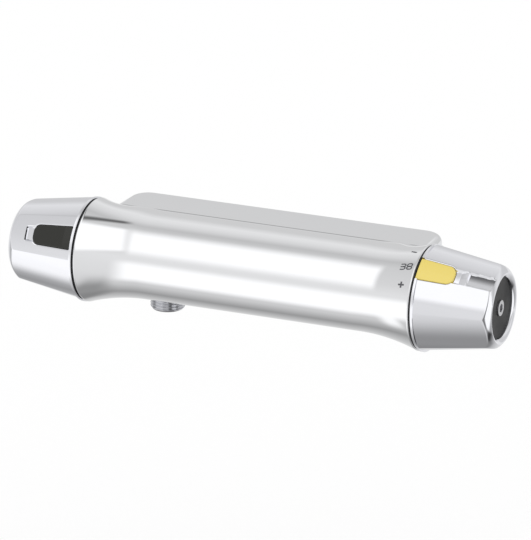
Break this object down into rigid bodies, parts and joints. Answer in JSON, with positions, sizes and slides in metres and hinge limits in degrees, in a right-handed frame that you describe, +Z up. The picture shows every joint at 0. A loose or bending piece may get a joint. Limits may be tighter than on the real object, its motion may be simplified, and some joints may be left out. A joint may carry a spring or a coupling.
{
  "type": "thermostatic shower mixer",
  "caption": "Exposed wall-mounted thermostatic shower mixer: waisted chrome body, rear block with union nuts, bottom outlet, a flow and a temperature handle with press buttons.",
  "frame": {"origin": "midway between the two inlets, in the plane of the mouths of the union nuts, which is the wall side", "axes": "+X along the mixer towards the temperature handle, -Y out of the wall towards the user, +Z up"},
  "size_m": [0.3064, 0.0935, 0.066],
  "materials": {
    "chrome": "polished",
    "handle_chrome": "polished",
    "brass": "machined",
    "steel": "satin",
    "strainer": "matt",
    "white_plastic": "moulded",
    "orange_plastic": "moulded",
    "black_plastic": "matt",
    "yellow_plastic": "satin",
    "olive_plastic": "satin",
    "rubber": "matt",
    "ceramic": "lapped"
  },
  "bodies": {
    "mixer": {"mixer_body": "chrome", "outlet_nipple": "chrome", "inlet_spigot_hot": "brass", "inlet_spigot_cold": "brass", "strainer_hot": "strainer", "strainer_cold": "strainer", "check_cage_hot": "white_plastic", "check_cage_cold": "white_plastic", "check_spring_hot": "steel", "check_spring_cold": "steel", "temp_glide_ring": "black_plastic", "flow_glide_ring": "black_plastic", "temp_retaining_nut": "brass", "flow_retaining_nut": "brass", "temp_stop_ring": "orange_plastic", "flow_stop_ring": "black_plastic", "thermo_housing": "white_plastic", "thermo_orings": "rubber", "return_spring": "steel", "flow_housing": "white_plastic", "flow_orings": "rubber", "flow_base": "white_plastic", "flow_fixed_disc": "ceramic"},
    "union_nut_hot": {"union_nut_hot": "chrome"},
    "union_nut_cold": {"union_nut_cold": "chrome"},
    "check_poppet_hot": {"check_poppet_hot": "orange_plastic"},
    "check_poppet_cold": {"check_poppet_cold": "orange_plastic"},
    "temp_handle": {"temp_handle_shell": "handle_chrome", "temp_handle_insert": "white_plastic", "temp_handle_screw": "steel", "temp_end_disc": "black_plastic", "temp_button_spring": "steel", "thermo_spindle": "brass"},
    "temp_button": {"temp_button": "yellow_plastic"},
    "regulator": {"regulating_nut": "brass", "overload_plunger": "brass", "overload_spring": "steel", "wax_pin": "steel"},
    "thermostat": {"wax_element": "brass", "mixing_piston": "white_plastic"},
    "flow_handle": {"flow_handle_shell": "handle_chrome", "flow_handle_insert": "white_plastic", "flow_handle_screw": "steel", "flow_end_disc": "black_plastic", "flow_button_spring": "steel", "flow_spindle": "brass", "flow_driver": "black_plastic", "flow_moving_disc": "ceramic"},
    "flow_button": {"flow_button": "olive_plastic"}
  },
  "joints": [
    {"name": "union_nut_hot_turn", "type": "hinge", "parent": "mixer", "child": "union_nut_hot", "pos_m": [-0.075, -0.008, 0], "axis": [0, 1, 0], "continuous": true},
    {"name": "union_nut_cold_turn", "type": "hinge", "parent": "mixer", "child": "union_nut_cold", "pos_m": [0.075, -0.008, 0], "axis": [0, 1, 0], "continuous": true},
    {"name": "check_hot_open", "type": "slide", "parent": "mixer", "child": "check_poppet_hot", "axis": [0, -1, 0], "range_m": [0, 0.002], "stiffness_N_per_m": 60, "springref_m": -0.002, "deforming": ["check_spring_hot"]},
    {"name": "check_cold_open", "type": "slide", "parent": "mixer", "child": "check_poppet_cold", "axis": [0, -1, 0], "range_m": [0, 0.002], "stiffness_N_per_m": 60, "springref_m": -0.002, "deforming": ["check_spring_cold"]},
    {"name": "temperature_turn", "type": "hinge", "parent": "mixer", "child": "temp_handle", "pos_m": [0.13, -0.062, 0], "axis": [1, 0, 0], "range_deg": [-150, 60]},
    {"name": "regulator_lift", "type": "slide", "parent": "mixer", "child": "regulator", "axis": [1, 0, 0], "range_m": [-0.00251, 0.00101], "deforming": ["return_spring"]},
    {"name": "wax_expansion", "type": "slide", "parent": "regulator", "child": "thermostat", "axis": [-1, 0, 0], "range_m": [0, 0.001], "stiffness_N_per_m": 2500, "springref_m": -0.004, "deforming": ["return_spring"]},
    {"name": "temperature_press", "type": "slide", "parent": "temp_handle", "child": "temp_button", "axis": [0, 0.6018, -0.7986], "range_m": [0, 0.0015], "stiffness_N_per_m": 900, "springref_m": -0.002, "deforming": ["temp_button_spring"]},
    {"name": "flow_turn", "type": "hinge", "parent": "mixer", "child": "flow_handle", "pos_m": [-0.13, -0.062, 0], "axis": [1, 0, 0], "range_deg": [0, 90]},
    {"name": "flow_press", "type": "slide", "parent": "flow_handle", "child": "flow_button", "axis": [0, 0.866, -0.5], "range_m": [0, 0.0015], "stiffness_N_per_m": 900, "springref_m": -0.002, "deforming": ["flow_button_spring"]}
  ],
  "couplings": [
    {"joint": "regulator_lift", "follows": "temperature_turn", "m_per_rad": 0.00095493}
  ]
}
